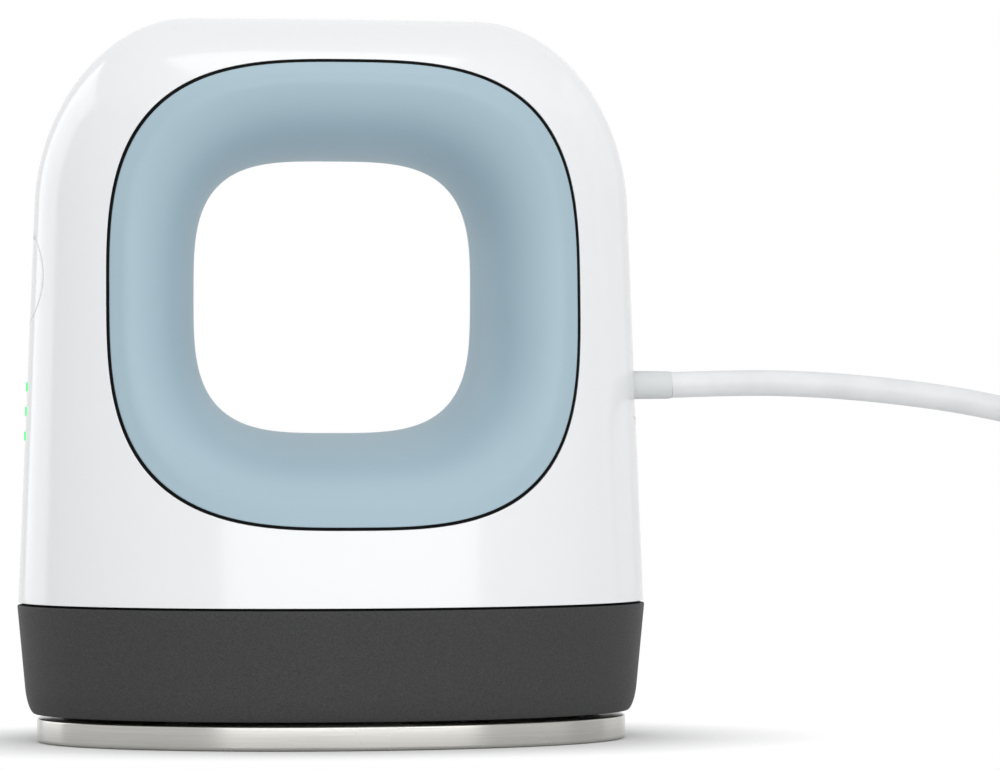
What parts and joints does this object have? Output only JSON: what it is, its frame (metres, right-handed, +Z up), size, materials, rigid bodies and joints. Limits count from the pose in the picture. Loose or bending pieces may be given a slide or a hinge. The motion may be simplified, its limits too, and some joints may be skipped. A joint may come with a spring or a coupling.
{
  "type": "mini handheld heat press",
  "caption": "Upright handheld heat press for small craft transfers: open oval handle, heat-resistant skirt, heated sole plate, side power button and mains cord.",
  "frame": {"origin": "middle of the sole plate's underside, on the table", "axes": "+X towards the side where the cord leaves, +Y towards the rear, +Z up; the front faces -Y"},
  "size_m": [0.2436, 0.0642, 0.1008],
  "materials": {
    "casing_white": "smooth, softly glossy",
    "grip_blue": "smooth, softly glossy pale blue-grey",
    "seal_black": "matt",
    "seal_grey": "matt",
    "skirt_charcoal": "fine-grained, matt",
    "tray_dark": "glass-filled, matt",
    "plate_coating": "warm white non-stick coating",
    "element_steel": "heat-tinted",
    "sheet_steel": "stamped",
    "sheet_aluminium": "rolled",
    "screw_steel": "zinc-plated",
    "washer_mica": "pressed mica",
    "blanket_fibre": "needled glass fibre",
    "board_green": "solder mask",
    "component_black": "moulded",
    "relay_blue": "moulded",
    "component_yellow": "tape-wound",
    "component_white": "moulded",
    "terminal_green": "moulded",
    "lamp_green": "lit from inside",
    "light_guide_clear": "clear acrylic",
    "wire_white": "silicone and glass sleeve",
    "wire_brown": "PVC",
    "ribbon_grey": "PVC",
    "cord_white": "soft PVC, satin",
    "plug_white": "moulded",
    "blade_brass": "drawn"
  },
  "bodies": {
    "press": {"front_shell": "casing_white", "rear_shell": "casing_white", "front_grip_ring": "grip_blue", "rear_grip_ring": "grip_blue", "grip_seals": "seal_black", "seam_gasket": "seal_grey", "base_skirt": "skirt_charcoal", "chassis_tray": "tray_dark", "heat_plate": "plate_coating", "heating_element": "element_steel", "element_clamp": "sheet_steel", "heat_shield": "sheet_aluminium", "clamp_screws": "screw_steel", "sensor_screws": "screw_steel", "standoff_screws": "screw_steel", "casing_base_screws": "screw_steel", "casing_screws": "screw_steel", "board_screws": "screw_steel", "side_board_screws": "screw_steel", "cord_clamp_screws": "screw_steel", "plate_standoffs": "sheet_steel", "standoff_washers": "washer_mica", "insulation_blanket": "blanket_fibre", "temperature_sensor": "sheet_aluminium", "thermal_cutoff": "sheet_aluminium", "control_board": "board_green", "side_board": "board_green", "processor_chip": "component_black", "tilt_sensor": "component_black", "power_relay": "relay_blue", "supply_transformer": "component_yellow", "filter_capacitor": "component_yellow", "supply_capacitor": "component_black", "mains_fuse": "component_black", "sounder": "component_black", "terminal_block": "terminal_green", "ribbon_socket": "component_white", "switch_housing": "component_black", "switch_dome": "sheet_steel", "indicator_lamps": "lamp_green", "light_guide": "light_guide_clear", "heater_wires": "wire_white", "mains_wires": "wire_brown", "sensor_wire": "wire_white", "cutoff_wires": "wire_white", "button_ribbon": "ribbon_grey", "strain_relief": "cord_white", "cord_clamp": "tray_dark", "mains_cord": "cord_white", "cord_coil": "cord_white", "plug_lead": "cord_white", "plug_strain_relief": "cord_white", "plug_body": "plug_white", "plug_blades": "blade_brass"},
    "power_button": {"power_button": "casing_white", "switch_plunger": "component_white"}
  },
  "joints": [
    {"name": "power_button_press", "type": "slide", "parent": "press", "child": "power_button", "axis": [1, 0, 0], "range_m": [0, 0.0006], "stiffness_N_per_m": 3000, "springref_m": -0.0003, "deforming": ["switch_dome"]}
  ]
}
